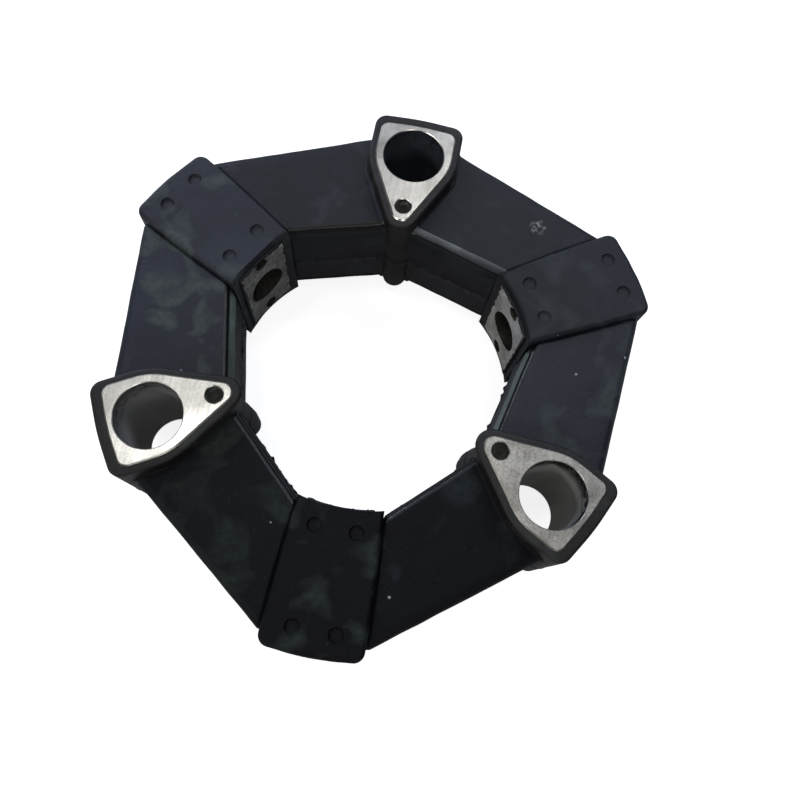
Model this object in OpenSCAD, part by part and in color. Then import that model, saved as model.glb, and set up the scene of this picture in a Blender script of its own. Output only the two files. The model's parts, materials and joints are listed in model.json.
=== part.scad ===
// Flexible rubber ring for a bolted shaft coupling. Three axial aluminium inserts bolt to a
// flange and stand proud of the rubber; between them three radial aluminium inserts bolt to a
// round hub. Six solid rubber arms join the stations and wind up elastically under torque.
// Millimetres. The origin is on the coupling axis in the plane of the flange faces, +Z towards
// the flange; an outline is drawn with Y as its distance from the axis.

/* [Ring] */
// Pitch circle diameter of the axial flange bolts
pitch_d = 125; // [100:1:160]
// Distance from the pitch circle in to the round hub that the radial inserts seat on
hub_reach = 18.4; // [17.4:0.1:20]
// Distance from the pitch circle out to the outer edge of the radial stations
outer_reach = 19.9; // [19.4:0.1:26]
// Height of the rubber over the radial stations
body_h = 38; // [31:0.5:50]
// Distance from the flange faces down to the rubber of the radial stations
body_drop = 4; // [2:0.5:5]
// Distance from the backs of the radial stations up to the backs of the axial inserts
back_gap = 4; // [2:0.5:5]

/* [Axial inserts] */
// Diameter of the flange bolt bore
axial_bore_d = 18.2; // [12:0.1:22]
// Metal beside the bolt bore
axial_wall = 2.5; // [2:0.1:5]
// Metal between the bolt bore and the outer edge
axial_lip = 1.65; // [1.4:0.05:4]
// Distance from the pitch circle in to the point of the tapered nose
nose_reach = 26.4; // [22:0.1:32]
// Half angle of the tapered nose
nose_angle = 26.3; // [24:0.1:30]
// Diameter of the blind dowel hole
dowel_d = 4.8; // [3:0.1:5.8]
// Depth of the blind dowel hole
dowel_depth = 12; // [6:0.5:20]
// Distance from the point of the nose out to the dowel hole
dowel_inset = 8.65; // [8:0.05:11]

/* [Rubber jackets] */
// Rubber skin on the sides of an axial insert
jacket_skin = 2; // [1.5:0.1:3]
// Rubber skin over the outer edge of an axial insert
jacket_outer_skin = 3; // [2:0.1:4]
// Height by which an axial insert stands proud of its rubber
jacket_relief = 0.5; // [0.2:0.1:1.5]
// Radius of the rib down the inner end of a jacket
rib_r = 3.7; // [3:0.1:5]

/* [Radial inserts] */
// Width of a radial insert where it seats on the hub
radial_w = 17.6; // [16:0.1:20]
// Width of a radial insert at its outer end
radial_outer_w = 21; // [17:0.1:22]
// Diameter of the radial bolt hole
radial_bore_d = 13; // [10:0.1:15.6]
// Diameter of the small holes by the upper and lower edges of the hub seat
seat_hole_d = 4.4; // [3:0.1:4.8]
// Distance from an edge of the seat to the middle of its small hole
seat_hole_inset = 2.5; // [2.45:0.05:3]
// Depth of the small holes
seat_hole_depth = 9; // [4:0.5:14]

/* [Rubber covers] */
// Rubber over the upper and lower sides of a radial insert
cover_over = 3.5; // [2.5:0.1:4.5]
// Rubber beside a radial insert at the hub seat
cover_inner_side = 2.9; // [2.5:0.1:4]
// Rubber beside a radial insert at its outer end
cover_outer_side = 3.5; // [3.3:0.1:5]
// Rubber outside a radial insert's outer end
cover_skin = 4; // [2.5:0.1:6]
// Gap in plan between the cover's inner edge and the hub seat
cover_setback = 0.4; // [0.2:0.1:1.5]
// Diameter of the opening for the radial bolt's head
head_opening_d = 20; // [18:0.5:24]
// Diameter of the marks left by the mould's support pins
pin_d = 3.8; // [2:0.1:5]
// Depth of the support pin marks
pin_depth = 0.9; // [0.5:0.1:2.4]
// Half spacing of the support pin marks across a cover
pin_across = 5.6; // [4:0.1:7]

/* [Rubber arms] */
// Depth of an arm's faces below the faces of the radial covers
arm_step = 2.2; // [1:0.1:4]
// Distance from the pitch circle in to the inner face at the middle of an arm
arm_in = 21.2; // [19.5:0.1:22]
// Distance from the pitch circle out to the outer face at the middle of an arm
arm_out = 8.9; // [4:0.1:9.4]
// Slope of the inner face, rising towards the radial station
arm_inner_slope = 0.24; // [0:0.01:0.3]
// Slope of the outer face, rising towards the radial station
arm_outer_slope = 0.12; // [0:0.01:0.14]

/* [Hidden] */
STATIONS = 3;
STEP_ANGLE = 360 / STATIONS;
HALF_ANGLE = STEP_ANGLE / 4;
ARC_STEPS = 8;
$fn = 96;
past = 1;

pitch_r = pitch_d / 2;
axial_h = body_drop + body_h - back_gap;
axial_half = axial_bore_d / 2 + axial_wall;
jacket_half = axial_half + jacket_skin;
axial_edge = pitch_r + axial_bore_d / 2 + axial_lip;
jacket_edge = axial_edge + jacket_outer_skin;
edge_camber = 0.85;
nose_tip = pitch_r - nose_reach;
nose_skin = jacket_skin / sin(nose_angle);
nose_r = 3;
corner_r = 2.6;
shoulder_r = 17;

hub_seat = pitch_r - hub_reach;
outer_edge = pitch_r + outer_reach;
body_mid = -body_drop - body_h / 2;
radial_end = outer_edge - cover_skin;
radial_h = body_h - 2 * cover_over;
seat_corner_r = 1.2;
cover_corner_r = 3.2;
cover_bulge_at = 0.4;
cover_bulge = 0.4;
outer_camber = 1.2;
pin_inner = hub_seat + 6.2;
pin_outer = outer_edge - 6.6;
arm_h = body_h - 2 * arm_step;
arm_bite = 1.5;

function unit(v) = v / norm(v);

// Points of the arc that rounds corner b between its neighbours a and c; r = 0 keeps it sharp
function corner_arc(a, b, c, r) =
    let (p = unit([a.x, a.y] - [b.x, b.y]),
         q = unit([c.x, c.y] - [b.x, b.y]),
         half = acos(p * q) / 2,
         centre = [b.x, b.y] + unit(p + q) * r / sin(half),
         from = [b.x, b.y] + p * r / tan(half) - centre,
         to = [b.x, b.y] + q * r / tan(half) - centre,
         sweep = atan2(from.x * to.y - from.y * to.x, from * to))
    r == 0 ? [[b.x, b.y]] :
    [for (i = [0:ARC_STEPS]) centre + rotated(from, sweep * i / ARC_STEPS)];

function rotated(v, a) = [v.x * cos(a) - v.y * sin(a), v.x * sin(a) + v.y * cos(a)];

// An outline whose corners are [x, y, radius]
function rounded(corners) =
    let (n = len(corners))
    [for (i = [0:n - 1])
        each corner_arc(corners[(i + n - 1) % n], corners[i], corners[(i + 1) % n], corners[i][2])];

// The same corners on the other side of the radial line, in reverse order
function mirrored(half) = [for (i = [len(half) - 1:-1:0]) [-half[i].x, half[i].y, half[i][2]]];

// Where the two tangents to the outer edge meet over its middle, when they fall by camber
// from there to half_w; rounded by the radius of the edge, they just touch that circle
function crown(edge, half_w, camber) = edge / cos(atan(camber / half_w));

// Tip, shoulder, outer corner and cambered outer edge of an axial insert or its jacket
function axial_outline(half_w, tip, edge, r_tip, r_corner, r_shoulder) =
    let (top = crown(edge, half_w, edge_camber),
         half = [[half_w, tip + half_w / tan(nose_angle), r_shoulder],
                 [half_w, top - edge_camber, r_corner]])
    rounded(concat([[0, tip, r_tip]], half, [[0, top, edge]], mirrored(half)));

// Station i of the axial inserts is at i * 120 degrees from +Y, radial stations half way between
module at_axial(i) {
    rotate([0, 0, i * STEP_ANGLE]) children();
}

module at_radial(i) {
    rotate([0, 0, (i + 0.5) * STEP_ANGLE]) children();
}

// A slab of the given outline from z = low to z = high
module slab(low, high) {
    translate([0, 0, low]) linear_extrude(high - low) children();
}

// A round hole along the radial line of a station
module radial_hole(d, from, to, z) {
    translate([0, from, z]) rotate([-90, 0, 0]) cylinder(d = d, h = to - from);
}

module axial_plan() {
    polygon(axial_outline(axial_half, nose_tip, axial_edge, nose_r, corner_r, shoulder_r));
}

module jacket_plan() {
    polygon(axial_outline(jacket_half, nose_tip - nose_skin, jacket_edge, rib_r,
                          corner_r + jacket_skin / 2, shoulder_r + jacket_skin));
}

module axial_insert(i) {
    color("gainsboro") at_axial(i) difference() {
        slab(-axial_h, 0) axial_plan();
        translate([0, pitch_r, -axial_h - past]) cylinder(d = axial_bore_d, h = axial_h + 2 * past);
        translate([0, nose_tip + dowel_inset, -dowel_depth]) cylinder(d = dowel_d, h = dowel_depth + past);
    }
}

module axial_jacket(i) {
    color("#2b2c2d") at_axial(i) slab(jacket_relief - axial_h, -jacket_relief) difference() {
        jacket_plan();
        axial_plan();
    }
}

// Plan of a radial insert: concave towards the hub, slightly wider at the outer end
module radial_plan() {
    difference() {
        polygon(rounded([[radial_w / 2, hub_seat - seat_corner_r, 0],
                         [radial_outer_w / 2, radial_end, seat_corner_r],
                         [-radial_outer_w / 2, radial_end, seat_corner_r],
                         [-radial_w / 2, hub_seat - seat_corner_r, 0]]));
        circle(r = hub_seat);
    }
}

// Plan of a cover: slightly bulged flanks, rounded outer corners and a cambered outer edge
module cover_plan() {
    inner = hub_seat - seat_corner_r;
    inner_half = radial_w / 2 + cover_inner_side;
    outer_half = radial_outer_w / 2 + cover_outer_side;
    bulge_half = inner_half * (1 - cover_bulge_at) + outer_half * cover_bulge_at + cover_bulge;
    top = crown(outer_edge, outer_half, outer_camber);
    half = [[inner_half, inner, 0],
            [bulge_half, inner + (outer_edge - inner) * cover_bulge_at, outer_edge],
            [outer_half, top - outer_camber, cover_corner_r]];
    difference() {
        polygon(rounded(concat(half, [[0, top, outer_edge]], mirrored(half))));
        circle(r = hub_seat + cover_setback);
    }
}

module radial_body() {
    slab(body_mid - radial_h / 2, body_mid + radial_h / 2) radial_plan();
}

module radial_insert(i) {
    color("darkgray") at_radial(i) difference() {
        radial_body();
        radial_hole(radial_bore_d, 0, outer_edge, body_mid);
        for (side = [-1, 1])
            radial_hole(seat_hole_d, hub_seat - past, hub_seat + seat_hole_depth,
                        body_mid + side * (radial_h / 2 - seat_hole_inset));
    }
}

module radial_cover(i) {
    color("#30333a") at_radial(i) difference() {
        slab(body_mid - body_h / 2, body_mid + body_h / 2) cover_plan();
        radial_body();
        radial_hole(head_opening_d, radial_end - past, outer_edge + past, body_mid);
        for (side = [-1, 1], x = [-pin_across, pin_across], y = [pin_inner, pin_outer])
            translate([x, y, body_mid + side * (body_h / 2 - pin_depth / 2 + past / 2)])
                cylinder(d = pin_d, h = pin_depth + past, center = true);
    }
}

// Where a sloping arm face, at distance "mid" from the axis in the arm's own frame, passes
// "across" from the radial line of the station on the given side (1 radial, -1 axial)
function arm_point(mid, slope, across, side) =
    let (x = side * (mid * sin(HALF_ANGLE) - across) / (cos(HALF_ANGLE) - side * slope * sin(HALF_ANGLE)))
    [x, mid + slope * x];

// Plan of an arm, cut to the outlines of the jacket and the cover that it is bonded to.
// The arm's own frame has +X towards its radial station.
module arm_plan() {
    difference() {
        polygon([arm_point(pitch_r - arm_in, arm_inner_slope, arm_bite, -1),
                 arm_point(pitch_r + arm_out, arm_outer_slope, jacket_half - arm_bite, -1),
                 arm_point(pitch_r + arm_out, arm_outer_slope, radial_w / 2 + arm_bite, 1),
                 arm_point(pitch_r - arm_in, arm_inner_slope, arm_bite, 1)]);
        rotate(HALF_ANGLE) jacket_plan();
        rotate(-HALF_ANGLE) cover_plan();
    }
}

// Arms 1, 3 and 5 run anticlockwise from their axial station, arms 2, 4 and 6 clockwise
module rubber_arm(n) {
    station = floor((n - 1) / 2);
    clockwise = n % 2 == 0;
    color("#262932") at_axial(station) mirror([clockwise ? 0 : 1, 0, 0]) rotate(-HALF_ANGLE)
        slab(body_mid - arm_h / 2, body_mid + arm_h / 2) arm_plan();
}

axial_insert(0);  // axial_insert_1
axial_insert(1);  // axial_insert_2
axial_insert(2);  // axial_insert_3
axial_jacket(0);  // axial_jacket_1
axial_jacket(1);  // axial_jacket_2
axial_jacket(2);  // axial_jacket_3
radial_insert(0);  // radial_insert_1
radial_insert(1);  // radial_insert_2
radial_insert(2);  // radial_insert_3
radial_cover(0);  // radial_cover_1
radial_cover(1);  // radial_cover_2
radial_cover(2);  // radial_cover_3
rubber_arm(1);  // rubber_arm_1
rubber_arm(2);  // rubber_arm_2
rubber_arm(3);  // rubber_arm_3
rubber_arm(4);  // rubber_arm_4
rubber_arm(5);  // rubber_arm_5
rubber_arm(6);  // rubber_arm_6
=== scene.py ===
"""Flexible rubber coupling ring, bonded to three axial and three radial aluminium inserts.

Metres, in the row frame: the coupling axis is Z, the flange faces lie in z = 0 and the ring
hangs below them. A station is drawn with X across it and Y as the distance from the axis, then
turned about Z. Axial stations stand at 0, 120 and 240 degrees from +Y, radial ones half way.
"""

import json
import math
import random

import bpy
from mathutils import Matrix, Vector, noise


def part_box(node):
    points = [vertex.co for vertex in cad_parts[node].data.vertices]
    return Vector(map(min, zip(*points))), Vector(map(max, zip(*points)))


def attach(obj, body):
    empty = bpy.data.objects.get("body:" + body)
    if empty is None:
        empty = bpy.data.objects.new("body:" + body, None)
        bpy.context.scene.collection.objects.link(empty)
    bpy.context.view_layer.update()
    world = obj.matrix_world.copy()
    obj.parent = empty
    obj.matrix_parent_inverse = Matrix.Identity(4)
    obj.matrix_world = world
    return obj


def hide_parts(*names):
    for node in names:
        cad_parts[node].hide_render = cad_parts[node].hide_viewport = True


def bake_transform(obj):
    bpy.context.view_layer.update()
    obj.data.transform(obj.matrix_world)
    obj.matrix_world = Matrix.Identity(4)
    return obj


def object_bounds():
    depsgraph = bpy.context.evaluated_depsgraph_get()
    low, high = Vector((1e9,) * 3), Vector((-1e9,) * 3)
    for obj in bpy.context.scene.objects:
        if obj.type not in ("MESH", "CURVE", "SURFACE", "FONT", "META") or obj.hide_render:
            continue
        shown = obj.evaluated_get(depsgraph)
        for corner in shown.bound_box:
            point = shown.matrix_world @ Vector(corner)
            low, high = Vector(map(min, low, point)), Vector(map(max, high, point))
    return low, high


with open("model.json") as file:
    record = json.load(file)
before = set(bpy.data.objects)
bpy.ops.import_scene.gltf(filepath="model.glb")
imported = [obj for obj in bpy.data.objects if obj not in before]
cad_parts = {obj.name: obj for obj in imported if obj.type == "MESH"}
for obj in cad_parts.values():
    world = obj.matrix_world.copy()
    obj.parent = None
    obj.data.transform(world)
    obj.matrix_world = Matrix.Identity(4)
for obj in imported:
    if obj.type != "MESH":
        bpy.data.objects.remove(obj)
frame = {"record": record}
cad_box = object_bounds()

MM = 0.001
STATIONS = (1, 2, 3)
STEP_ANGLE = 120
HALF_ANGLE = math.radians(30)

# ---------------------------------------------------------------- sizes, from the imported part where its boxes give them

mounts = {mount["name"]: mount for mount in frame["record"]["mounts"]}
insert_low, insert_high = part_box("axial_insert_1")
jacket_low, jacket_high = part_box("axial_jacket_1")
cover_low, cover_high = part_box("radial_cover_2")
seat_low, seat_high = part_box("radial_insert_2")
arm_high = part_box("rubber_arm_1")[1]

pitch_r = mounts["axial_bolts"]["dims"]["pcd_mm"] / 2 * MM
bolt_bore_r = mounts["axial_bolts"]["dims"]["hole_r_mm"] * MM
dowel_r = mounts["dowel_hole_1"]["dims"]["r_mm"] * MM
dowel_depth = mounts["dowel_hole_1"]["dims"]["length_mm"] * MM
radial_bore_r = mounts["radial_bolt_bore_1"]["dims"]["r_mm"] * MM
dowel_at = Vector(mounts["dowel_hole_1"]["pos_m"]).xy.length

insert_half = insert_high.x
insert_edge = insert_high.y
jacket_half = jacket_high.x
jacket_edge = jacket_high.y
cover_edge = -cover_low.y
cover_half = cover_high.x
radial_end = -seat_low.y
radial_half = seat_high.x
body_mid = (cover_low.z + cover_high.z) / 2

# Sizes that the boxes can't give, as in the part's source
nose_angle = math.radians(26.3)
nose_tip = pitch_r - 26.4 * MM
nose_r = 3 * MM
rib_r = 3.7 * MM
rim_tip_r = 4.8 * MM
rib_shape = ((0.0, 4.8), (0.08, 5.9), (0.30, 6.0), (0.55, 5.1), (0.70, 4.3), (0.80, 4.0), (1.0, 4.0))
edge_camber = 0.85 * MM
jacket_skin = jacket_half - insert_half
hub_seat = pitch_r - 18.4 * MM
seat_half = 8.8 * MM
seat_hole_r = 2.2 * MM
seat_hole_depth = 9 * MM
seat_hole_inset = 2.5 * MM
cover_setback = 0.4 * MM
cover_inner_half = 11.7 * MM
cover_bulge_half = 13.02 * MM
cover_camber = 1.2 * MM
head_opening_r = 10 * MM
pin_r = 1.9 * MM
pin_depth = 0.9 * MM
pin_across = 5.6 * MM
pin_inner = hub_seat + 6.2 * MM
pin_outer = cover_edge - 6.6 * MM
arm_in = pitch_r - 20.6 * MM
arm_out = pitch_r + 8.9 * MM
arm_inner_slope = 0.24
arm_outer_slope = 0.12


# ---------------------------------------------------------------- materials

def linear(hex_colour):
    """An sRGB hex colour as linear RGBA."""
    def channel(value):
        return value / 12.92 if value <= 0.04045 else ((value + 0.055) / 1.055) ** 2.4
    text = hex_colour.lstrip("#")
    return tuple(channel(int(text[i:i + 2], 16) / 255) for i in (0, 2, 4)) + (1.0,)


def add(tree, kind, settings=(), values=(), links=()):
    """Adds a node: its settings, the values of its sockets, and links from other nodes' outputs."""
    made = tree.nodes.new(kind)
    for key, value in dict(settings).items():
        setattr(made, key, value)
    for key, value in dict(values).items():
        made.inputs[key].default_value = value
    for key, output in dict(links).items():
        tree.links.new(output, made.inputs[key])
    return made


def new_material(name, **surface):
    """An empty node material with a Principled surface, and its tree, surface and rest position."""
    material = bpy.data.materials.new(name)
    material.use_nodes = True
    tree = material.node_tree
    tree.nodes.clear()
    shader = add(tree, "ShaderNodeBsdfPrincipled", values=surface)
    add(tree, "ShaderNodeOutputMaterial", links={"Surface": shader.outputs["BSDF"]})
    place = add(tree, "ShaderNodeTexCoord").outputs["Object"]
    return material, tree, shader, place


def ramp(tree, source, stops, interpolation="LINEAR"):
    """A colour ramp over source, with stops as (position, colour)."""
    made = add(tree, "ShaderNodeValToRGB", links={"Fac": source})
    made.color_ramp.interpolation = interpolation
    elements = made.color_ramp.elements
    while len(elements) < len(stops):
        elements.new(0.5)
    for element, (position, colour) in zip(elements, stops):
        element.position = position
        element.color = colour
    return made


def grey(value):
    return (value, value, value, 1.0)


def rubber(name, base, deep, bloom, bloom_share, roughness, grain_mm, specks=0.5, sheen=0.36, scar=None):
    """Moulded black rubber. It is a dull near-black whose surface wax has bloomed into cloudy,
    slightly greenish patches, with a fine moulded grain, short scuffs and a few pale specks. A
    scar is a place (x, y, z) where something has scraped the surface pale."""
    material, tree, shader, place = new_material(
        name, **{"Metallic": 0.0, "IOR": 1.5, "Specular IOR Level": sheen})
    clouds = add(tree, "ShaderNodeTexNoise", values={"Scale": 1 / 0.013, "Detail": 2.5,
                                                   "Roughness": 0.5, "Distortion": 0.5},
                 links={"Vector": place})
    shade = add(tree, "ShaderNodeTexNoise", values={"Scale": 1 / 0.030, "Detail": 3.0},
                links={"Vector": place})
    mottle = add(tree, "ShaderNodeTexNoise", values={"Scale": 1 / 0.0016, "Detail": 4.0,
                                                   "Roughness": 0.65}, links={"Vector": place})
    body = ramp(tree, shade.outputs["Fac"], [(0.40, linear(deep)), (0.60, linear(base))])
    edge = 0.655 - 0.14 * bloom_share
    patch = ramp(tree, clouds.outputs["Fac"], [(edge, grey(0)), (edge + 0.05, grey(0.35)),
                                               (edge + 0.15, grey(0.75))])
    broken = add(tree, "ShaderNodeMath", {"operation": "MULTIPLY"},
                 links={0: patch.outputs["Color"], 1: ramp(
                     tree, mottle.outputs["Fac"], [(0.3, grey(0.4)), (0.65, grey(1))]).outputs["Color"]})
    tint = add(tree, "ShaderNodeMix", {"data_type": "RGBA"}, {"B": linear(bloom)},
               {"Factor": broken.outputs[0], "A": body.outputs["Color"]})
    # Pores and dust, 0.2 mm across and drawn twice as large so that they show
    dust = add(tree, "ShaderNodeTexNoise", values={"Scale": 1 / 0.0007, "Detail": 2.0, "Roughness": 0.8},
               links={"Vector": place})
    dusted = ramp(tree, dust.outputs["Fac"], [(0.64, grey(0)), (0.80, grey(0.10))])
    scuff = add(tree, "ShaderNodeTexNoise", values={"Scale": 1 / 0.006, "Detail": 6.0, "Roughness": 0.75,
                                                  "Distortion": 1.2}, links={"Vector": place})
    scuffed = ramp(tree, scuff.outputs["Fac"], [(0.67, grey(0)), (0.74, grey(0.10))])
    worn = add(tree, "ShaderNodeMath", {"operation": "MAXIMUM"},
               links={0: dusted.outputs["Color"], 1: scuffed.outputs["Color"]})
    if scar:
        away = add(tree, "ShaderNodeVectorMath", {"operation": "DISTANCE"}, {1: scar}, {0: place})
        near = add(tree, "ShaderNodeMapRange", values={"From Min": 0.0030, "From Max": 0.0008},
                   links={"Value": away.outputs["Value"]})
        torn = ramp(tree, mottle.outputs["Fac"], [(0.50, grey(0)), (0.59, grey(0.9))])
        scraped = add(tree, "ShaderNodeMath", {"operation": "MULTIPLY"},
                      links={0: near.outputs["Result"], 1: torn.outputs["Color"]})
        worn = add(tree, "ShaderNodeMath", {"operation": "MAXIMUM"},
                   links={0: worn.outputs[0], 1: scraped.outputs[0]})
    marked = add(tree, "ShaderNodeMix", {"data_type": "RGBA"}, {"B": linear("#8b9290")},
                 {"Factor": worn.outputs[0], "A": tint.outputs["Result"]})
    cells = add(tree, "ShaderNodeTexVoronoi", values={"Scale": 1 / 0.0034, "Randomness": 1.0},
                links={"Vector": place})
    rare = add(tree, "ShaderNodeMath", {"operation": "GREATER_THAN"}, {1: 1 - 0.018 * specks},
               {0: add(tree, "ShaderNodeSeparateColor",
                       links={"Color": cells.outputs["Color"]}).outputs["Red"]})
    near = add(tree, "ShaderNodeMath", {"operation": "LESS_THAN"}, {1: 0.12},
               {0: cells.outputs["Distance"]})
    dot = add(tree, "ShaderNodeMath", {"operation": "MULTIPLY"},
              links={0: rare.outputs[0], 1: near.outputs[0]})
    speckled = add(tree, "ShaderNodeMix", {"data_type": "RGBA"}, {"B": linear("#8f9492")},
                   {"Factor": dot.outputs[0], "A": marked.outputs["Result"]})
    tree.links.new(speckled.outputs["Result"], shader.inputs["Base Color"])
    gloss = add(tree, "ShaderNodeMapRange", values={"To Min": roughness, "To Max": roughness + 0.14},
                links={"Value": broken.outputs[0]})
    tree.links.new(gloss.outputs["Result"], shader.inputs["Roughness"])
    grain = add(tree, "ShaderNodeTexNoise", values={"Scale": 1000 / grain_mm, "Detail": 3.0},
                links={"Vector": place})
    wave = add(tree, "ShaderNodeTexNoise", values={"Scale": 1 / 0.008, "Detail": 2.0},
               links={"Vector": place})
    unevenness = add(tree, "ShaderNodeBump", values={"Strength": 0.45, "Distance": 0.0006},
                     links={"Height": wave.outputs["Fac"]})
    bump = add(tree, "ShaderNodeBump", values={"Strength": 0.55, "Distance": 0.00016},
               links={"Height": grain.outputs["Fac"], "Normal": unevenness.outputs["Normal"]})
    tree.links.new(bump.outputs["Normal"], shader.inputs["Normal"])
    return material


def machined_aluminium(name, bright, dull, dull_share, roughness, spot):
    """Milled aluminium face. It is a bright satin metal with fine parallel cutter lines that run
    along Y, greyed in soft blotches by handling, with the odd pit."""
    material, tree, shader, place = new_material(name, Metallic=1.0)
    blotch = add(tree, "ShaderNodeTexNoise", values={"Scale": 1 / 0.014, "Detail": 4.0,
                                                   "Roughness": 0.6}, links={"Vector": place})
    tone = ramp(tree, blotch.outputs["Fac"],
                [(0.30 + 0.1 * dull_share, linear(dull)), (0.52 + 0.1 * dull_share, linear(bright))])
    along = add(tree, "ShaderNodeMapping", values={"Scale": (1.0, 0.03, 1.0)}, links={"Vector": place})
    lines = add(tree, "ShaderNodeTexNoise", values={"Scale": 1 / 0.0009, "Detail": 3.0,
                                                  "Roughness": 0.6},
                links={"Vector": along.outputs["Vector"]})
    line_tone = ramp(tree, lines.outputs["Fac"], [(0.3, grey(0.72)), (0.62, grey(1))])
    lined = add(tree, "ShaderNodeMix", {"data_type": "RGBA", "blend_type": "MULTIPLY"},
                {"Factor": 0.8}, {"A": tone.outputs["Color"], "B": line_tone.outputs["Color"]})
    pits = add(tree, "ShaderNodeTexNoise", values={"Scale": 1 / 0.0007, "Detail": 3.0,
                                                 "Roughness": 0.7}, links={"Vector": place})
    pitted = ramp(tree, pits.outputs["Fac"], [(0.36, grey(1 - spot)), (0.56, grey(1))])
    spotted = add(tree, "ShaderNodeMix", {"data_type": "RGBA", "blend_type": "MULTIPLY"},
                  {"Factor": 1.0}, {"A": lined.outputs["Result"], "B": pitted.outputs["Color"]})
    tree.links.new(spotted.outputs["Result"], shader.inputs["Base Color"])
    gloss = add(tree, "ShaderNodeMapRange",
                values={"To Min": roughness + 0.1, "To Max": roughness - 0.05},
                links={"Value": lines.outputs["Fac"]})
    tree.links.new(gloss.outputs["Result"], shader.inputs["Roughness"])
    bump = add(tree, "ShaderNodeBump", values={"Strength": 0.25, "Distance": 0.00006},
               links={"Height": lines.outputs["Fac"]})
    tree.links.new(bump.outputs["Normal"], shader.inputs["Normal"])
    return material


def cast_aluminium(name, light, dark):
    """As-cast aluminium under a dull oxide skin. It is a matt, finely pitted grey, with darker
    smears of rubber film."""
    material, tree, shader, place = new_material(name, Metallic=0.35)
    skin = add(tree, "ShaderNodeTexNoise", values={"Scale": 1 / 0.0013, "Detail": 5.0,
                                                 "Roughness": 0.7}, links={"Vector": place})
    smear = add(tree, "ShaderNodeTexNoise", values={"Scale": 1 / 0.008, "Detail": 3.0},
                links={"Vector": place})
    tone = ramp(tree, skin.outputs["Fac"], [(0.3, linear(dark)), (0.7, linear(light))])
    film = ramp(tree, smear.outputs["Fac"], [(0.34, grey(0.62)), (0.6, grey(1))])
    mixed = add(tree, "ShaderNodeMix", {"data_type": "RGBA", "blend_type": "MULTIPLY"},
                {"Factor": 1.0}, {"A": tone.outputs["Color"], "B": film.outputs["Color"]})
    tree.links.new(mixed.outputs["Result"], shader.inputs["Base Color"])
    gloss = add(tree, "ShaderNodeMapRange", values={"To Min": 0.62, "To Max": 0.42},
                links={"Value": skin.outputs["Fac"]})
    tree.links.new(gloss.outputs["Result"], shader.inputs["Roughness"])
    bump = add(tree, "ShaderNodeBump", values={"Strength": 0.5, "Distance": 0.0002},
               links={"Height": skin.outputs["Fac"]})
    tree.links.new(bump.outputs["Normal"], shader.inputs["Normal"])
    return material


def bore_wall(name, deep, mouth, smear, smear_share=0.3, depth=0.014):
    """The wall of a bore. It is a smooth, dark film of rubber and oxide, black in smears by the
    mouth. Its colour is painted lighter further down, as painted light that cancels the shade deep in
    the bore."""
    material, tree, shader, place = new_material(name, **{"IOR": 1.5, "Specular IOR Level": 0.4})
    height = add(tree, "ShaderNodeSeparateXYZ", links={"Vector": place}).outputs["Z"]
    down = add(tree, "ShaderNodeMapRange", values={"From Min": 0.0, "From Max": -depth},
               links={"Value": height})
    # Painted light: the colour runs from the darker mouth tone to a lighter tone deeper down
    painted_light_by_depth = ramp(tree, down.outputs["Result"], [(0.0, linear(mouth)), (1.0, linear(deep))])
    film = add(tree, "ShaderNodeTexNoise",
               values={"Scale": 1 / 0.0035, "Detail": 5.0, "Distortion": 1.2},
               links={"Vector": place})
    smears = ramp(tree, film.outputs["Fac"], [(0.30 + 0.3 * smear_share, grey(1)),
                                              (0.40 + 0.3 * smear_share, grey(0))])
    by_mouth = add(tree, "ShaderNodeMapRange",
                   values={"From Min": -0.6 * depth, "From Max": -0.2 * depth},
                   links={"Value": height})
    masked = add(tree, "ShaderNodeMath", {"operation": "MULTIPLY"},
                 links={0: smears.outputs["Color"], 1: by_mouth.outputs["Result"]})
    colour = add(tree, "ShaderNodeMix", {"data_type": "RGBA"}, {"B": linear(smear)},
                 {"Factor": masked.outputs[0], "A": painted_light_by_depth.outputs["Color"]})
    tree.links.new(colour.outputs["Result"], shader.inputs["Base Color"])
    gloss = add(tree, "ShaderNodeMapRange", values={"To Min": 0.62, "To Max": 0.5},
                links={"Value": film.outputs["Fac"]})
    tree.links.new(gloss.outputs["Result"], shader.inputs["Roughness"])
    return material


scrape = (41.2 * MM, 50.2 * MM, arm_high.z)
# The arms and covers are one rubber. Arms 3, 6 and cover 2, at the -Y side, get a near-black base and a
# weak sheen, and arms 4, 5 and cover 1 a lighter base with more bloom: painted shade and light across
# the ring, together with real differences in bloom
arm_rubber = {
    1: rubber("moulded_rubber_arm_1", "#12151f", "#0c0e16", "#2c3336", 0.7, 0.52, 0.9),
    2: rubber("moulded_rubber_arm_2", "#0f121c", "#0a0c13", "#262d31", 0.6, 0.52, 0.9, scar=scrape),
    3: rubber("moulded_rubber_arm_3", "#05080d", "#030509", "#27302b", 0.85, 0.56, 0.9, 1.0, 0.16),
    4: rubber("moulded_rubber_arm_4", "#1c202b", "#131620", "#47514b", 0.8, 0.52, 0.9),
    5: rubber("moulded_rubber_arm_5", "#1c1f2a", "#12151e", "#3a4243", 0.65, 0.52, 0.9, 0.8),
    6: rubber("moulded_rubber_arm_6", "#04060d", "#020308", "#262d2f", 0.6, 0.56, 0.9, 0.8, 0.16),
}
cover_rubber = {
    1: rubber("moulded_rubber_cover_1", "#242830", "#171a23", "#495250", 0.75, 0.54, 0.8),
    2: rubber("moulded_rubber_cover_2", "#04060d", "#020308", "#303835", 0.9, 0.56, 0.8, 0.8, 0.16),
    3: rubber("moulded_rubber_cover_3", "#141820", "#0d1016", "#353b3d", 0.65, 0.54, 0.8),
}
jacket_rubber = rubber("moulded_rubber_jacket", "#1d1c19", "#131210", "#3a3d39", 0.5, 0.5, 0.45, 1.0)
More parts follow.
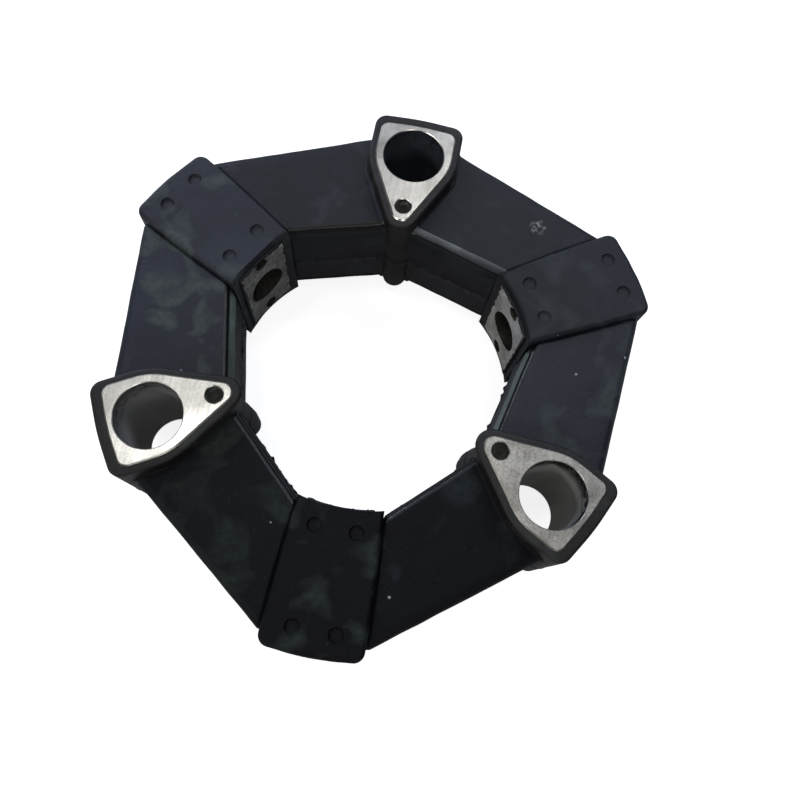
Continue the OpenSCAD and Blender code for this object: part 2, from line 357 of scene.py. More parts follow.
# Painted highlight: arm 2's rounded inner edges are coloured light grey with a strong sheen, standing in
# for the bright line of light that glances along them
painted_highlight_edge = rubber("painted_highlight_rubber_edge", "#666c70", "#44494d", "#7d8487", 0.5, 0.30, 0.9, 0.2, 0.6)
# Painted shade: the rounded inner edges of the other arms are coloured near black, standing in for the
# shade on edges that face away from the light
painted_shade_edge = rubber("painted_shade_rubber_edge", "#0a0c10", "#06080a", "#20262a", 0.4, 0.36, 0.9, 0.2, 0.4)
edge_rubber = {1: painted_shade_edge, 2: painted_highlight_edge, 3: painted_shade_edge, 4: painted_shade_edge, 5: painted_shade_edge, 6: painted_shade_edge}
# Painted light and shade: the narrow ledge under each arm's inner edge is coloured light grey on arms 4
# and 5, where it catches the light, and dark on the others, where it lies in shade
painted_light_ledge = {
    n: rubber(f"painted_light_rubber_ledge_{n}", light, dark, bloom, 0.7, 0.6, 0.7, 0.6)
    for n, light, dark, bloom in (
        (1, "#1d2125", "#14171a", "#30373a"), (2, "#16191d", "#0f1215", "#262c2f"),
        (3, "#0c0f10", "#07090a", "#1a2022"), (4, "#68736f", "#4a5451", "#87938f"),
        (5, "#626c69", "#464f4c", "#808b88"), (6, "#0c0f10", "#07090a", "#1a2022"))}
flash_rubber = rubber("rubber_flash", "#0a0b0d", "#060708", "#181b1b", 0.3, 0.5, 0.5, 0.2)
# The three faces are one milled aluminium. Station 3's is given a darker tone and more grey blotches as
# painted shade, and more pits as its real grain
face_metal = {
    1: machined_aluminium("milled_aluminium_1", "#f6f3ea", "#c0bdb4", 0.35, 0.29, 0.12),
    2: machined_aluminium("milled_aluminium_2", "#f6f3ea", "#cbc8bf", 0.25, 0.29, 0.16),
    3: machined_aluminium("milled_aluminium_3", "#c8c5bc", "#94918a", 0.45, 0.36, 0.35),
}
# Painted light: the bore walls of stations 2 and 3 and the dowel holes are coloured far lighter deep
# down than station 1's dark film, standing in for light inside them; the dark film and black smears by
# the mouth are real
bore_walls_film_and_light = {
    1: bore_wall("bore_film_and_light_1", "#474d55", "#2a2e35", "#14171b"),
    2: bore_wall("bore_film_and_light_2", "#b4b4b2", "#454544", "#3a3a39"),
    3: bore_wall("bore_film_and_light_3", "#c6c7c2", "#525350", "#070706", 0.8),
}
dowel_walls_film_and_light = bore_wall("dowel_hole_film_and_light", "#c4c6c0", "#5a5c58", "#2a2c2a", 0.6, 0.008)
# The three seats are one as-cast aluminium. Station 3's is given a much lighter tone, as painted light
# standing in for the light that falls on it
seat_metal = {
    1: cast_aluminium("as_cast_aluminium_1", "#a8a8a5", "#62625f"),
    2: cast_aluminium("as_cast_aluminium_2", "#b4b4b1", "#787876"),
    3: cast_aluminium("as_cast_aluminium_3", "#dededa", "#9a9a97"),
}
seat_bore = cast_aluminium("radial_bore_metal", "#55534d", "#24221e")
chip_metal = cast_aluminium("torn_aluminium_chip", "#b4b4b0", "#6e6e68")


# ---------------------------------------------------------------- outlines and meshes

def rounded(corners, steps=8):
    """The closed outline whose corners are (x, y, radius); a zero radius keeps the corner sharp."""
    points = []
    for i, (bx, by, r) in enumerate(corners):
        b = Vector((bx, by))
        if r == 0:
            points.append(b)
            continue
        p = (Vector(corners[i - 1][:2]) - b).normalized()
        q = (Vector(corners[(i + 1) % len(corners)][:2]) - b).normalized()
        half = p.angle(q) / 2
        centre = b + (p + q).normalized() * r / math.sin(half)
        start = b + p * r / math.tan(half) - centre
        end = b + q * r / math.tan(half) - centre
        sweep = math.atan2(start.x * end.y - start.y * end.x, start.dot(end))
        points += [centre + Matrix.Rotation(sweep * k / steps, 2) @ start for k in range(steps + 1)]
    return points


def mirrored(half):
    return [(-x, y, r) for x, y, r in reversed(half)]


def spaced(points, gap):
    """The closed outline with points added so that none is more than gap from the next."""
    result = []
    for a, b in zip(points, points[1:] + points[:1]):
        count = max(1, math.ceil((b - a).length / gap))
        result += [a.lerp(b, k / count) for k in range(count)]
    return result


def inset(points, depth):
    """The closed anticlockwise outline moved inwards by depth."""
    result = []
    for i, point in enumerate(points):
        before, after = points[i - 1], points[(i + 1) % len(points)]
        first = (point - before).normalized()
        second = (after - point).normalized()
        n1 = Vector((-first.y, first.x))
        n2 = Vector((-second.y, second.x))
        mean = (n1 + n2).normalized()
        result.append(point + mean * depth / max(0.35, mean.dot(n1)))
    return result


def new_piece(name, vertices, faces, materials, slots=None, smooth_angle=32):
    """A mesh object with smooth shading, broken at edges sharper than smooth_angle."""
    mesh = bpy.data.meshes.new(name)
    mesh.from_pydata([tuple(v) for v in vertices], [], faces)
    for material in materials:
        mesh.materials.append(material)
    if slots:
        mesh.polygons.foreach_set("material_index", slots)
    mesh.validate()
    piece = bpy.data.objects.new(name, mesh)
    bpy.context.scene.collection.objects.link(piece)
    mesh.shade_smooth()
    mesh.set_sharp_from_angle(angle=math.radians(smooth_angle))
    return piece


def tube_faces(rings, count, closed=False, capped=True):
    """Faces between neighbouring rings of count points, with the two end rings capped."""
    faces = []
    for r in range(rings if closed else rings - 1):
        a, b = r * count, (r + 1) % rings * count
        for k in range(count):
            n = (k + 1) % count
            faces.append((a + k, a + n, b + n, b + k))
    if capped and not closed:
        faces.append(tuple(reversed(range(count))))
        faces.append(tuple(range((rings - 1) * count, rings * count)))
    return faces


def ring_solid(name, rings, materials, closed=False, smooth_angle=32, strips=None):
    """A solid lofted through rings of equally many points, bottom ring first. strips gives the
    material slot of each strip between neighbouring points of the rings."""
    count = len(rings[0])
    vertices = [v for ring in rings for v in ring]
    slots = strips * (len(rings) - 1) + [0, 0] if strips else None
    return new_piece(name, vertices, tube_faces(len(rings), count, closed), materials, slots,
                     smooth_angle)


def lathe(profile, at, axis, slots, segments=64):
    """A solid turned about axis at a point; profile is (distance along, radius) from start to end."""
    turn = axis.to_track_quat("Z", "Y").to_matrix()
    vertices = []
    for along, radius in profile:
        for k in range(segments):
            a = 2 * math.pi * k / segments
            vertices.append(at + turn @ Vector((radius * math.cos(a), radius * math.sin(a), along)))
    faces = tube_faces(len(profile), segments)
    face_slots = [slots[k // segments] for k in range(segments * (len(profile) - 1))] + [0, 0]
    return vertices, faces, face_slots


def cutter(parts, materials):
    """One mesh object out of several (vertices, faces, slots)."""
    vertices, faces, slots = [], [], []
    for v, f, s in parts:
        faces += [tuple(i + len(vertices) for i in face) for face in f]
        vertices += v
        slots += s
    return new_piece("cutter", vertices, faces, materials, slots)


def cut(piece, tool, smooth_angle=32):
    """Cuts the tool out of the piece and takes the tool away."""
    boolean = piece.modifiers.new("cut", "BOOLEAN")
    boolean.operation = "DIFFERENCE"
    boolean.object = tool
    boolean.solver = "EXACT"
    boolean.material_mode = "TRANSFER"
    bpy.context.view_layer.update()
    done = bpy.data.meshes.new_from_object(
        piece.evaluated_get(bpy.context.evaluated_depsgraph_get()))
    piece.modifiers.clear()
    old = piece.data
    done.name = old.name
    piece.data = done
    bpy.data.meshes.remove(old)
    bpy.data.objects.remove(tool)
    piece.data.shade_smooth()
    piece.data.set_sharp_from_angle(angle=math.radians(smooth_angle))


def flat_shading_kept(piece):
    """Keeps large flat faces flat beside rounded edges."""
    weighted = piece.modifiers.new("flat faces", "WEIGHTED_NORMAL")
    weighted.keep_sharp = True


def turn_piece(piece, degrees):
    piece.data.transform(Matrix.Rotation(math.radians(degrees), 4, "Z"))


def axial_angle(i):
    return (i - 1) * STEP_ANGLE


def radial_angle(i):
    return (i - 0.5) * STEP_ANGLE


def roughened(piece, scale, amount, seed):
    """Moves every vertex in by up to amount, so that a moulded face isn't dead flat."""
    offset = Vector((seed * 3.1, seed * 1.7, seed * 2.3))
    pushes = [(noise.noise(vertex.co / scale + offset) - 1) * amount / 2
              for vertex in piece.data.vertices]
    normals = [vertex.normal.copy() for vertex in piece.data.vertices]
    for vertex, normal, push in zip(piece.data.vertices, normals, pushes):
        vertex.co += normal * push


# ---------------------------------------------------------------- axial stations

def axial_outline(half, tip, edge, r_tip, r_corner, r_shoulder):
    top = edge / math.cos(math.atan(edge_camber / half))
    side = [(half, tip + half / math.tan(nose_angle), r_shoulder), (half, top - edge_camber, r_corner)]
    return rounded([(0, tip, r_tip)] + side + [(0, top, edge)] + mirrored(side))


def insert_outline():
    return axial_outline(insert_half, nose_tip, insert_edge, nose_r, 2.6 * MM, 17 * MM)


def jacket_outline(tip_r=rib_r, skin=jacket_skin):
    grown = skin - jacket_skin
    return axial_outline(jacket_half + grown, nose_tip - skin / math.sin(nose_angle),
                         jacket_edge + grown, tip_r, 3.6 * MM, 19 * MM)


def make_axial_insert(i):
    """A milled insert with a chamfered bolt bore, a drilled dowel hole and a broken outer edge."""
    outline = insert_outline()
    break_edge = 0.4 * MM
    low, high = insert_low.z, insert_high.z
    rings = [[Vector((p.x, p.y, z)) for p in inset(outline, d)] for d, z in (
        (break_edge, low), (0, low + break_edge), (0, high - break_edge), (break_edge, high))]
    metals = [face_metal[i], bore_walls_film_and_light[i], dowel_walls_film_and_light]
    piece = ring_solid(f"axial_insert_milled_{i}", rings, metals)
    past = 1 * MM
    chamfer = 0.22 * MM
    up = Vector((0, 0, 1))
    bore = lathe([(low - past, bolt_bore_r + chamfer + past), (low + chamfer, bolt_bore_r),
                  (high - chamfer, bolt_bore_r), (high + past, bolt_bore_r + chamfer + past)],
                 Vector((0, pitch_r, 0)), up, [0, 1, 0], 96)
    lip = 0.25 * MM
    hole = lathe([(high - dowel_depth - 1.2 * MM, 0.05 * MM), (high - dowel_depth, dowel_r),
                  (high - lip, dowel_r), (high + past, dowel_r + lip + past)],
                 Vector((0, dowel_at, 0)), up, [2, 2, 0], 40)
    cut(piece, cutter([bore, hole], metals))
    flat_shading_kept(piece)
    turn_piece(piece, axial_angle(i))
    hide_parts(f"axial_insert_{i}")
    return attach(piece, "flange_side")


def rib_tip_r(z):
    """Rounding of a jacket's inner end at height z. The rounder it is, the less it stands out."""
    share = (jacket_high.z - z) / (jacket_high.z - jacket_low.z)
    for (s0, r0), (s1, r1) in zip(rib_shape, rib_shape[1:]):
        if share <= s1:
            return (r0 + (r1 - r0) * (share - s0) / (s1 - s0)) * MM
    return rib_shape[-1][1] * MM


def make_axial_jacket(i):
    """The rubber skin round an insert: a flat rim, a rounded edge and, down the inner end, a rib
    that is slim under the rim and swells to a bulb in its lower third."""
    inner = insert_outline()
    low, high = jacket_low.z, jacket_high.z
    round_r = 0.9 * MM
    rings = []

    def ring_at(z, back, tip_r, skin=jacket_skin):
        shape = jacket_outline(tip_r, skin)
        return [Vector((p.x, p.y, z)) for p in (inset(shape, back) if back else shape)]

    mid = body_mid
    rings.append([Vector((p.x, p.y, high)) for p in inset(inner, 0.1 * MM)])
    rings.append([Vector((p.x, p.y, high)) for p in inset(inner, -0.25 * MM)])
    for k in range(7):
        a = math.radians(90 * (1 - k / 6))
        rings.append(ring_at(high - round_r * (1 - math.sin(a)), round_r * (1 - math.cos(a)), rim_tip_r))
    for k in range(1, 12):
        t = k / 12
        z = high - round_r + (mid + 0.3 * MM - high + round_r) * t
        rings.append(ring_at(z, 0.12 * MM * t, rib_tip_r(z)))
    ridge = 0.12 * MM
    parting_r = rib_tip_r(mid)
    rings += [ring_at(mid + 0.3 * MM, ridge, parting_r), ring_at(mid + 0.1 * MM, 0, parting_r),
              ring_at(mid - 0.1 * MM, 0, parting_r), ring_at(mid - 0.3 * MM, ridge, parting_r)]
    for k in range(1, 6):
        z = mid - 0.3 * MM + (low + round_r - mid + 0.3 * MM) * k / 6
        rings.append(ring_at(z, 0.15 * MM, rib_tip_r(z)))
    foot_r = rib_tip_r(low)
    for k in range(7):
        a = math.radians(90 * k / 6)
        rings.append(ring_at(low + round_r * (1 - math.sin(a)), 0.15 * MM + round_r * (1 - math.cos(a)),
                             foot_r))
    rings.append([Vector((p.x, p.y, low)) for p in inset(inner, -0.2 * MM)])
    rings.append([Vector((p.x, p.y, low)) for p in inset(inner, 0.1 * MM)])
    rings.reverse()
    piece = ring_solid(f"rubber_jacket_{i}", rings, [jacket_rubber], closed=True, smooth_angle=50)
    turn_piece(piece, axial_angle(i))
    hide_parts(f"axial_jacket_{i}")
    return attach(piece, "flange_side")


# ---------------------------------------------------------------- radial stations

def cover_outline():
    inner = hub_seat + cover_setback
    bulge_at = hub_seat - 1.2 * MM
    bulge_at += (cover_edge - bulge_at) * 0.4
    top = cover_edge / math.cos(math.atan(cover_camber / cover_half))
    corner_y = math.sqrt(inner ** 2 - cover_inner_half ** 2)
    side = [(cover_inner_half, corner_y, 0), (cover_bulge_half, bulge_at, cover_edge),
            (cover_half, top - cover_camber, 3.2 * MM)]
    half_arc = [(inner * math.sin(a), inner * math.cos(a), 0) for a in
                (math.asin(cover_inner_half / inner) * k / 8 for k in range(1, 8))]
    return rounded([(0, inner, 0)] + half_arc + side + [(0, top, cover_edge)] + mirrored(side)
                   + mirrored(half_arc))


def seat_plan(grow=0.0, steps=12):
    """Plan of a radial insert: concave towards the hub and a little wider at the outer end."""
    half = seat_half + grow
    limit = math.asin(half / hub_seat)
    arc = [Vector((hub_seat * math.sin(a), hub_seat * math.cos(a)))
           for a in (limit * (2 * k / steps - 1) for k in range(steps + 1))]
    end_half = radial_half + grow
    back = [Vector((end_half, radial_end + grow)), Vector((-end_half, radial_end + grow))]
    return arc + back


def make_radial_cover(i):
    """The rubber over a radial insert, with rounded edges, a parting line, eight marks left by
    the mould's support pins and the opening for the bolt's head."""
    outline = spaced(cover_outline(), 1.6 * MM)
    low, high, mid = cover_low.z, cover_high.z, body_mid
    round_r = 1.5 * MM
    rings = []
    for k in range(6):
        a = math.radians(90 * k / 5)
        back = round_r * (1 - math.sin(a))
        z = low + round_r * (1 - math.cos(a))
        rings.append([Vector((p.x, p.y, z)) for p in inset(outline, back)])
    ridge = 0.12 * MM
    for z, back in ((mid - 9 * MM, 0.0), (mid - 0.3 * MM, ridge), (mid - 0.1 * MM, 0.0),
                    (mid + 0.1 * MM, 0.0), (mid + 0.3 * MM, ridge), (mid + 9 * MM, 0.0)):
        rings.append([Vector((p.x, p.y, z)) for p in (inset(outline, back) if back else outline)])
    for k in range(6):
        a = math.radians(90 * (1 - k / 5))
        back = round_r * (1 - math.sin(a))
        z = high - round_r * (1 - math.cos(a))
        rings.append([Vector((p.x, p.y, z)) for p in inset(outline, back)])
    piece = ring_solid(f"rubber_cover_{i}", rings, [cover_rubber[i]])
    roughened(piece, 5 * MM, 0.3 * MM, 10 + i)
    shrink = -0.05 * MM
    plan = seat_plan(shrink)
    past = 2 * MM
    plan = [Vector((p.x, p.y - (past if p.y < radial_end - past else 0))) for p in plan]
    z_low, z_high = seat_low.z - shrink, seat_high.z + shrink
    pocket = ([Vector((p.x, p.y, z_low)) for p in plan] + [Vector((p.x, p.y, z_high)) for p in plan],
              tube_faces(2, len(plan)), [0] * (len(plan) + 2))
    out = Vector((0, 1, 0))
    head = [(radial_end - 0.5 * MM, head_opening_r), (cover_edge + past, head_opening_r)]
    parts = [pocket, lathe(head, Vector((0, 0, mid)), out, [0], 72)]
    mark = [(-pin_depth, pin_r - 0.3 * MM), (-pin_depth + 0.25 * MM, pin_r - 0.05 * MM),
            (-0.3 * MM, pin_r), (0.1 * MM, pin_r + 0.35 * MM), (past, pin_r + past)]
    for face, up in ((high, Vector((0, 0, 1))), (low, Vector((0, 0, -1)))):
        for x in (-pin_across, pin_across):
            for y in (pin_inner, pin_outer):
                parts.append(lathe(mark, Vector((x, y, face)), up, [0, 0, 0, 0], 32))
    cut(piece, cutter(parts, [cover_rubber[i]]))
    flat_shading_kept(piece)
    turn_piece(piece, radial_angle(i))
    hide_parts(f"radial_cover_{i}")
    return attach(piece, "hub_side")


def make_radial_insert(i):
    """An as-cast insert, concave where it seats on the hub, with its bolt hole and the two small
    holes that the edges of the seat nearly cut."""
    plan = seat_plan(steps=24)
    break_edge = 0.25 * MM
    low, high = seat_low.z, seat_high.z
    rings = [[Vector((p.x, p.y, z)) for p in inset(plan, d)] for d, z in (
        (break_edge, low), (0, low + break_edge), (0, high - break_edge), (break_edge, high))]
    metals = [seat_metal[i], seat_bore]
    piece = ring_solid(f"radial_insert_cast_{i}", rings, metals)
    out = Vector((0, 1, 0))
    past = 3 * MM
    parts = [lathe([(hub_seat - past, radial_bore_r), (radial_end + past, radial_bore_r)],
                   Vector((0, 0, body_mid)), out, [1], 72)]
    for z in (low + seat_hole_inset, high - seat_hole_inset):
        parts.append(lathe([(hub_seat - past, seat_hole_r), (hub_seat + seat_hole_depth, seat_hole_r)],
                           Vector((0, 0, z)), out, [1], 32))
    cut(piece, cutter(parts, metals))
    flat_shading_kept(piece)
    turn_piece(piece, radial_angle(i))
    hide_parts(f"radial_insert_{i}")
    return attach(piece, "hub_side")


def make_seat_flash(i):
    """The thin ragged skin of rubber that crept over the edges of the hub seat in the mould."""
    low, high = seat_low.z, seat_high.z
    middle = (low + high) / 2
    corners = [Vector((seat_half, low)), Vector((seat_half, high)),
               Vector((-seat_half, high)), Vector((-seat_half, low))]
    border = spaced(corners, 0.45 * MM)
    front, back = hub_seat - 0.14 * MM, hub_seat + 0.55 * MM
    rows = [[], [], [], []]
    for p in border:
        spot = Vector((p.x / (2.1 * MM), p.y / (2.1 * MM), i * 7.3))
        fine = Vector((p.x / (0.7 * MM), p.y / (0.7 * MM), i * 3.9))
        creep = 0.45 + 0.75 * noise.noise(spot) + 0.4 * noise.noise(fine)
        creep = max(0.06, creep) * MM
        centre = Vector((0, middle))
        inward = Vector((-p.x, 0)) if abs(abs(p.x) - seat_half) < 1e-6 else Vector((0, centre.y - p.y))
        if abs(abs(p.x) - seat_half) < 1e-6 and min(abs(p.y - low), abs(p.y - high)) < 1e-6:
            inward = centre - p
        step = inward.normalized()
        for row, (shift, depth) in zip(rows, ((-0.45 * MM, back), (-0.3 * MM, front + 0.1 * MM),
                                               (creep * 0.8, front), (creep, back))):
            q = p + step * shift
            rows[rows.index(row)].append(Vector((q.x, math.sqrt(depth ** 2 - q.x ** 2), q.y)))
    piece = ring_solid(f"seat_flash_{i}", rows, [flash_rubber], closed=True, smooth_angle=60)
    turn_piece(piece, radial_angle(i))
    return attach(piece, "hub_side")


def make_seat_chips(i):
    """Small bright chips of torn aluminium, caught in the flash by the upper edge of the seat."""
    rng = random.Random(40 + i)
    vertices, faces = [], []
    top = seat_high.z
    for x, z, size in [
            (-seat_half + 0.4 * MM, top - 0.2 * MM, 0.7 * MM),
            (seat_half - 0.7 * MM, top - 0.1 * MM, 0.9 * MM),
            (seat_half - 0.2 * MM, top - 1.6 * MM, 0.5 * MM), (-3.4 * MM, top, 0.45 * MM),
            (2.6 * MM, top + 0.1 * MM, 0.4 * MM),
            (-seat_half + 1.6 * MM, top + 0.1 * MM, 0.45 * MM)]:
        base = Vector((x, math.sqrt((hub_seat - 0.1 * MM) ** 2 - x ** 2), z))
        first = len(vertices)
        for dx, dy, dz in ((1, 0, 0), (-1, 0, 0), (0, 1, 0), (0, -1, 0), (0, 0, 1), (0, 0, -1)):
            stretch = Vector((dx * 1.1, dy * 0.35, dz * 0.5)) * size * rng.uniform(0.6, 1.2)
            stray = Vector((rng.uniform(-1, 1), 0, rng.uniform(-1, 1))) * size * 0.2
            vertices.append(base + stretch + stray)
        for a, b, c in ((0, 2, 4), (2, 1, 4), (1, 3, 4), (3, 0, 4),
                        (2, 0, 5), (1, 2, 5), (3, 1, 5), (0, 3, 5)):
            faces.append((first + a, first + b, first + c))
    piece = new_piece(f"seat_chips_{i}", vertices, faces, [chip_metal], smooth_angle=10)
    turn_piece(piece, radial_angle(i))
    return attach(piece, "hub_side")


# ---------------------------------------------------------------- arms

def jacket_side(y):
    """Half width of a jacket at distance y from the axis."""
    tip = nose_tip - jacket_skin / math.sin(nose_angle)
    return max(0.5 * MM, min(jacket_half, (y - tip) * math.tan(nose_angle)))


def cover_side(y):
    """Half width of a cover at distance y from the axis."""
    t = (y - hub_seat) / (cover_edge - hub_seat)
    bulge = 0.35 * MM * math.sin(math.pi * min(1, max(0, t)))
    return cover_inner_half + (cover_half - cover_inner_half) * t + bulge


def arm_end(share, lean, towards, bury):
    """Where the line at a share of the arm's width meets the jacket (-1) or the cover (+1)."""
    near, far = 0.0, 45 * MM
    for _ in range(40):
        u = (near + far) / 2
        along = towards * u
        v = arm_line(share, lean, along)
        x = v * math.sin(HALF_ANGLE) - u * math.cos(HALF_ANGLE)
        y = v * math.cos(HALF_ANGLE) + u * math.sin(HALF_ANGLE)
        side = (cover_side(y) if towards > 0 else jacket_side(y)) - bury
        near, far = (u, far) if x > side else (near, u)
    return towards * near


def arm_line(share, lean, u):
    """Distance from the axis at u along the arm, from its inner face (share 0) to its outer (1)."""
    inner = arm_in + arm_inner_slope * u
    outer = arm_out + arm_outer_slope * u
    return inner + (outer - inner) * share + lean


def arm_section():
    """The closed section of an arm as (share of width, lean, z), and the material slot of each
    strip: 0 the walls, 1 the inner edge, 2 the ledge under it."""
    high, mid = arm_high.z, body_mid
    inner_r, outer_r = 1.4 * MM, 2.8 * MM
    upper = []
    # outer wall from the parting line up, round the outer edge, across the top, down the inner wall
    upper += [(1, 0.3 * MM + 0.22 * MM, mid), (1, 0.3 * MM, mid + 0.3 * MM)]
    upper += [(1, 0.3 * MM * (1 - k / 5), mid + (high - outer_r - mid) * k / 5) for k in range(1, 5)]
    upper += [(1, -outer_r * (1 - math.cos(a)), high - outer_r * (1 - math.sin(a)))
              for a in (math.radians(90 * k / 8) for k in range(9))]
    upper += [(1 - k / 12, -outer_r * (1 - k / 12) + inner_r * k / 12, high) for k in range(1, 12)]
    upper += [(0, inner_r * (1 - math.sin(a)), high - inner_r * (1 - math.cos(a)))
              for a in (math.radians(90 * k / 6) for k in range(7))]
    for drop, lean in ((1.7, 0.1), (2.1, 0.35), (2.5, 0.4), (2.8, 0.25), (3.4, -0.25), (4.0, -0.6),
                       (4.7, -0.78), (6.5, -0.9), (9.5, -1.05), (13.0, -1.2)):
        upper.append((0, lean * MM, high - drop * MM))
    upper += [(0, -1.3 * MM, mid + 0.3 * MM), (0, -1.5 * MM, mid)]
    lower = [(share, lean, 2 * mid - z) for share, lean, z in reversed(upper[1:-1])]
    edge_from, ledge_from, ledge_to = 26, 35, 40
    slots = [1 if edge_from <= k < ledge_from - 3 else 2 if ledge_from <= k < ledge_to else 0
             for k in range(len(upper) - 1)]
    return upper + lower, slots + slots[::-1]


def make_arm(n):
    """A rubber arm, moulded to a jacket at one end and a cover at the other. Its edges are
    rounded, and its inner wall is grooved under both edges and leans in to the parting line."""
    section, strips = arm_section()
    station = (n - 1) // 2
    side = 1 if n % 2 else -1
    steps = 64
    bury = 0.9 * MM
    fillet = 0.6 * MM
    groove = 0.9 * MM
    bisector = math.radians(station * STEP_ANGLE) + side * HALF_ANGLE
    v_axis = Vector((-math.sin(bisector), math.cos(bisector), 0))
    u_axis = Vector((-math.cos(bisector), -math.sin(bisector), 0)) * side
    count = len(section)
    normals = []
    for k, (share, lean, z) in enumerate(section):
        a, b = section[k - 1], section[(k + 1) % count]
        width = arm_out - arm_in
        tangent = Vector(((b[0] - a[0]) * width + b[1] - a[1], b[2] - a[2]))
        normals.append(Vector((tangent.y, -tangent.x)).normalized())
    ends = [(arm_end(share, lean, -1, bury), arm_end(share, lean, 1, bury))
            for share, lean, _ in section]
    rings = []
    for s in range(steps + 1):
        t = s / steps
        t = t - 0.06 * math.sin(2 * math.pi * t)
        ring = []
        for (share, lean, z), (start, stop), out in zip(section, ends, normals):
            u = start + (stop - start) * t
            swell = 0.0
            to_jacket, to_cover = u - start - bury, stop - u - bury
            if to_jacket < fillet:
                reach = min(fillet, fillet - to_jacket)
                swell = fillet - math.sqrt(max(0.0, fillet ** 2 - reach ** 2))
            elif to_cover < groove:
                swell = -0.55 * MM * (1 - max(0.0, to_cover) / groove) ** 0.6
            v = arm_line(share, lean, u) + out.x * swell
            if share == 0 and abs(z - body_mid) < 0.35 * MM:
                place = Vector((u / (1.6 * MM), n * 5.3, z / MM))
                v -= max(0.0, noise.noise(place) - 0.05) * 1.3 * MM
            ring.append(u_axis * u + v_axis * v + Vector((0, 0, z + out.y * swell)))
        rings.append(ring)
    if side < 0:
        rings.reverse()
    piece = ring_solid(f"rubber_arm_{n}_bonded", rings, [arm_rubber[n], edge_rubber[n], painted_light_ledge[n]],
                       smooth_angle=40, strips=strips)
    roughened(piece, 7 * MM, 0.3 * MM, n)
    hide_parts(f"rubber_arm_{n}")
    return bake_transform(piece)


for i in STATIONS:
    make_axial_insert(i)
    make_axial_jacket(i)
    make_radial_insert(i)
    make_radial_cover(i)
    make_seat_flash(i)
    make_seat_chips(i)
for n in range(1, 7):
    make_arm(n)


# ---------------------------------------------------------------- stage, light and camera

def make_floor():
    """A plain pale sweep that the ring lies on."""
    half = 3.0
    tone = grey(0.6)
    z = cad_box[0][2] - 0.1 * MM
    material = bpy.data.materials.new("pale_floor")
    material.use_nodes = True
    tree = material.node_tree
    tree.nodes.clear()
    white = add(tree, "ShaderNodeBsdfDiffuse", values={"Color": tone})
    # The camera sees the floor nearly white; the ring is lit only by the diffuse grey
    glow = add(tree, "ShaderNodeEmission", values={"Color": grey(1), "Strength": 0.84})
    seen = tree.nodes.new("ShaderNodeAddShader")
    tree.links.new(white.outputs[0], seen.inputs[0])
    tree.links.new(glow.outputs[0], seen.inputs[1])
    bounced = add(tree, "ShaderNodeBsdfDiffuse", values={"Color": tone})
    rays = add(tree, "ShaderNodeLightPath")
    mixed = tree.nodes.new("ShaderNodeMixShader")
    tree.links.new(rays.outputs["Is Camera Ray"], mixed.inputs["Fac"])
    tree.links.new(bounced.outputs[0], mixed.inputs[1])
    tree.links.new(seen.outputs[0], mixed.inputs[2])
    add(tree, "ShaderNodeOutputMaterial", links={"Surface": mixed.outputs[0]})
    floor = new_piece("floor", [(-half, -half, z), (half, -half, z), (half, half, z), (-half, half, z)],
                      [(0, 1, 2, 3)], [material])


def soft_light(name, direction, distance, size, power, colour="#ffffff"):
    """A square softbox that looks at the ring from a direction."""
    data = bpy.data.lights.new(name, "AREA")
    data.shape = "SQUARE"
    data.size = size
    data.energy = power
    data.color = linear(colour)[:3]
    lamp = bpy.data.objects.new(name, data)
    towards = Vector(direction).normalized()
    lamp.location = towards * distance
    lamp.rotation_euler = towards.to_track_quat("Z", "Y").to_euler()
    bpy.context.scene.collection.objects.link(lamp)


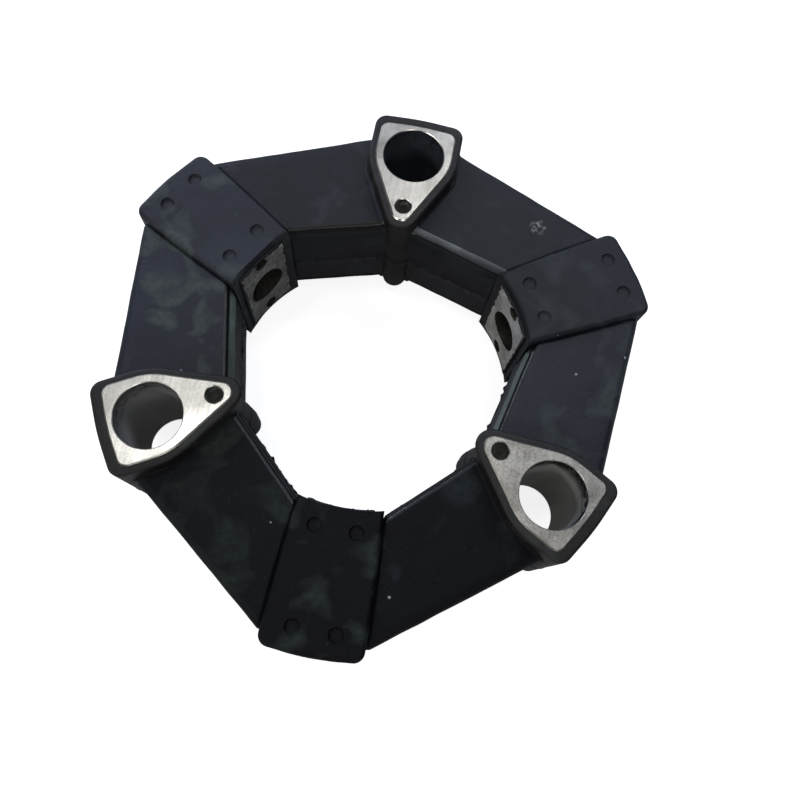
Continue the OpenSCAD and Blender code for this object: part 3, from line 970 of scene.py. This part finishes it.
make_floor()
window = "#dde6ff"
soft_light("back_left_softbox", (-0.62, 0.62, 0.47), 1.1, 0.40, 4.6, window)
soft_light("back_softbox", (0.05, 0.88, 0.47), 1.1, 0.40, 2.0, window)
soft_light("back_right_softbox", (0.50, 0.50, 0.70), 1.1, 0.40, 2.0, window)
soft_light("front_right_softbox", (0.35, -0.75, 0.52), 1.1, 0.40, 1.9)
soft_light("front_left_strip", (-0.57, -0.63, 0.50), 1.1, 0.22, 2.0)
soft_light("camera_side_fill", (0.05, -0.36, 0.93), 1.1, 0.35, 0.45)
soft_light("left_softbox", (-0.85, -0.30, 0.45), 1.1, 0.40, 0.9)
soft_light("high_back_card", (0.10, 0.46, 0.88), 1.0, 0.13, 0.80)
soft_light("high_left_card", (-0.26, 0.07, 0.963), 1.0, 0.14, 0.90)
soft_light("high_right_card", (0.19, 0.02, 0.98), 1.0, 0.15, 0.30)

world = bpy.data.worlds.new("studio")
bpy.context.scene.world = world
world.use_nodes = True
sky = world.node_tree
sky.nodes.clear()
lit = add(sky, "ShaderNodeBackground", values={"Color": grey(1), "Strength": 0.045})
backdrop = add(sky, "ShaderNodeBackground", values={"Color": grey(1), "Strength": 0.95})
sky_rays = add(sky, "ShaderNodeLightPath")
sky_mix = sky.nodes.new("ShaderNodeMixShader")
sky.links.new(sky_rays.outputs["Is Camera Ray"], sky_mix.inputs["Fac"])
sky.links.new(lit.outputs[0], sky_mix.inputs[1])
sky.links.new(backdrop.outputs[0], sky_mix.inputs[2])
add(sky, "ShaderNodeOutputWorld", links={"Surface": sky_mix.outputs[0]})

bpy.context.scene.view_settings.view_transform = "Standard"

# The camera stands about 0.2 m off, above the ring and towards -Y, with a moderately wide lens
lens = bpy.data.cameras.new("studio_camera")
lens.lens = 31.98
lens.sensor_width = 36
lens.shift_x = 0.00695
lens.shift_y = -0.00848
lens.clip_start = 0.01
camera = bpy.data.objects.new("studio_camera", lens)
bpy.context.scene.collection.objects.link(camera)
right = Vector((0.98133, 0.18528, 0.0516))
upward = Vector((-0.19222, 0.93539, 0.2968))
forward = Vector((-0.00673, 0.30118, -0.95354))
camera.matrix_world = Matrix((
    (right.x, upward.x, -forward.x, 0.009462),
    (right.y, upward.y, -forward.y, -0.070006),
    (right.z, upward.z, -forward.z, 0.18251),
    (0, 0, 0, 1)))
bpy.context.scene.camera = camera
